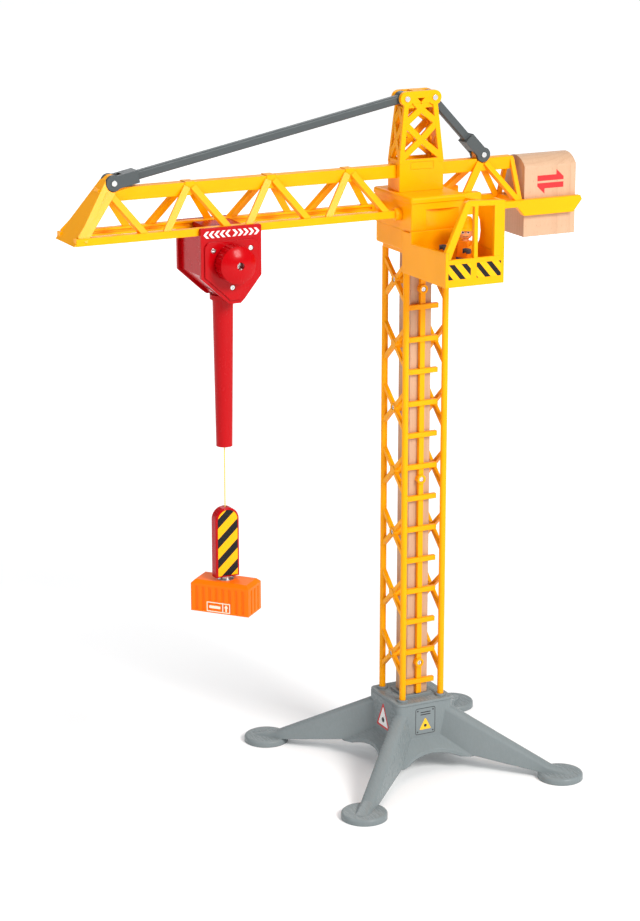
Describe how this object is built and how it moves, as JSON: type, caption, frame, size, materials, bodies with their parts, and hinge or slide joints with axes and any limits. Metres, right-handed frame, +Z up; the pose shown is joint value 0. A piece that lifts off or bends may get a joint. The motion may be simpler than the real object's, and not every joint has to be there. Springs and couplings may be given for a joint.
{
  "type": "toy tower crane",
  "caption": "Toy tower crane on four spread legs, with a slewing jib, a travelling trolley, a hand-wound magnet hoist, a sliding wooden counterweight and a driver in the cab.",
  "frame": {"origin": "on the slewing axis at floor level, in the middle of the four foot discs", "axes": "+Z up; the jib points along -X and the counterweight along +X; the cab and the ladder are on the -Y side"},
  "size_m": [0.4095, 0.2056, 0.5256],
  "materials": {
    "crane_yellow": "moulded, glossy",
    "base_grey": "moulded, satin gloss",
    "winch_red": "moulded, high gloss",
    "screw_steel": "bright zinc",
    "beech": "beech, clear matt lacquer",
    "rod_slate": "moulded, satin",
    "bush_white": "natural",
    "driver_trousers": "moulded",
    "driver_vest": "moulded",
    "driver_skin": "moulded",
    "driver_helmet_yellow": "moulded",
    "driver_glove": "moulded",
    "string_yellow": "braided cord",
    "hazard_print": "printed film",
    "magnet_steel": "plated",
    "container_orange": "moulded, satin"
  },
  "bodies": {
    "tower": {"base_frame": "base_grey", "base_deck": "base_grey", "wooden_post": "beech", "tower_side_frame_jib": "crane_yellow", "tower_side_frame_rear": "crane_yellow", "ladder": "crane_yellow", "tower_cap": "crane_yellow", "slew_pin": "screw_steel", "slew_clip": "screw_steel", "tower_screws": "screw_steel"},
    "superstructure": {"slew_box": "crane_yellow", "slew_bush": "bush_white", "housing": "crane_yellow", "roof_plate": "crane_yellow", "mast": "crane_yellow", "jib": "crane_yellow", "counter_jib": "crane_yellow", "tie_rod_long": "rod_slate", "tie_rod_short": "rod_slate", "tie_rod_pins": "screw_steel", "cab_shell": "crane_yellow", "cab_window_frame": "crane_yellow"},
    "weight": {"counterweight": "beech"},
    "driver": {"driver_legs": "driver_trousers", "driver_torso": "driver_vest"},
    "driver_left": {"driver_arm_left": "driver_vest", "driver_hand_left": "driver_glove"},
    "driver_right": {"driver_arm_right": "driver_vest", "driver_hand_right": "driver_glove"},
    "trolley": {"trolley_front_plate": "winch_red", "trolley_rear_plate": "winch_red", "trolley_body": "winch_red", "trolley_screws": "screw_steel", "guide_tube": "winch_red"},
    "winder": {"hoist_drum": "screw_steel", "hoist_knob": "winch_red", "knob_screw": "screw_steel"},
    "hook": {"hoist_string": "string_yellow", "string_knot": "string_yellow", "magnet_holder_front": "winch_red", "magnet_holder_rear": "winch_red", "hazard_label_front": "hazard_print", "hazard_label_rear": "hazard_print", "magnet": "magnet_steel"},
    "load": {"container": "container_orange", "container_floor": "container_orange", "container_disc": "magnet_steel"},
    "driver_head_body": {"driver_head": "driver_skin", "driver_helmet": "driver_helmet_yellow"}
  },
  "joints": [
    {"name": "slew", "type": "hinge", "parent": "tower", "child": "superstructure", "pos_m": [0, 0, 0.425], "axis": [0, 0, 1], "continuous": true},
    {"name": "trolley_travel", "type": "slide", "parent": "superstructure", "child": "trolley", "axis": [1, 0, 0], "range_m": [-0.078, 0.1]},
    {"name": "hoist", "type": "slide", "parent": "trolley", "child": "hook", "axis": [0, 0, 1], "range_m": [-0.1, 0.036]},
    {"name": "winding_knob", "type": "hinge", "parent": "trolley", "child": "winder", "pos_m": [-0.1607, 0, 0.4153], "axis": [0, -1, 0], "range_deg": [-2300, 830]},
    {"name": "container_pull_off", "type": "slide", "parent": "hook", "child": "load", "axis": [0, 0, -1], "range_m": [0, 0.012]},
    {"name": "weight_slide", "type": "slide", "parent": "superstructure", "child": "weight", "axis": [1, 0, 0], "range_m": [-0.002, 0.01]},
    {"name": "driver_lift_out", "type": "slide", "parent": "superstructure", "child": "driver", "axis": [0, 0, 1], "range_m": [0, 0.045]},
    {"name": "driver_head_turn", "type": "hinge", "parent": "driver", "child": "driver_head_body", "pos_m": [0.008, -0.06, 0.424], "axis": [0, 0, 1], "range_deg": [-60, 60]},
    {"name": "driver_left_shoulder", "type": "hinge", "parent": "driver", "child": "driver_left", "pos_m": [0.01073, -0.06644, 0.4196], "axis": [0.3907, -0.9205, 0], "range_deg": [-60, 50]},
    {"name": "driver_right_shoulder", "type": "hinge", "parent": "driver", "child": "driver_right", "pos_m": [0.00526, -0.05356, 0.4196], "axis": [0.3907, -0.9205, 0], "range_deg": [-60, 50]}
  ],
  "couplings": [
    {"joint": "winding_knob", "follows": "hoist", "rad_per_m": 400}
  ]
}
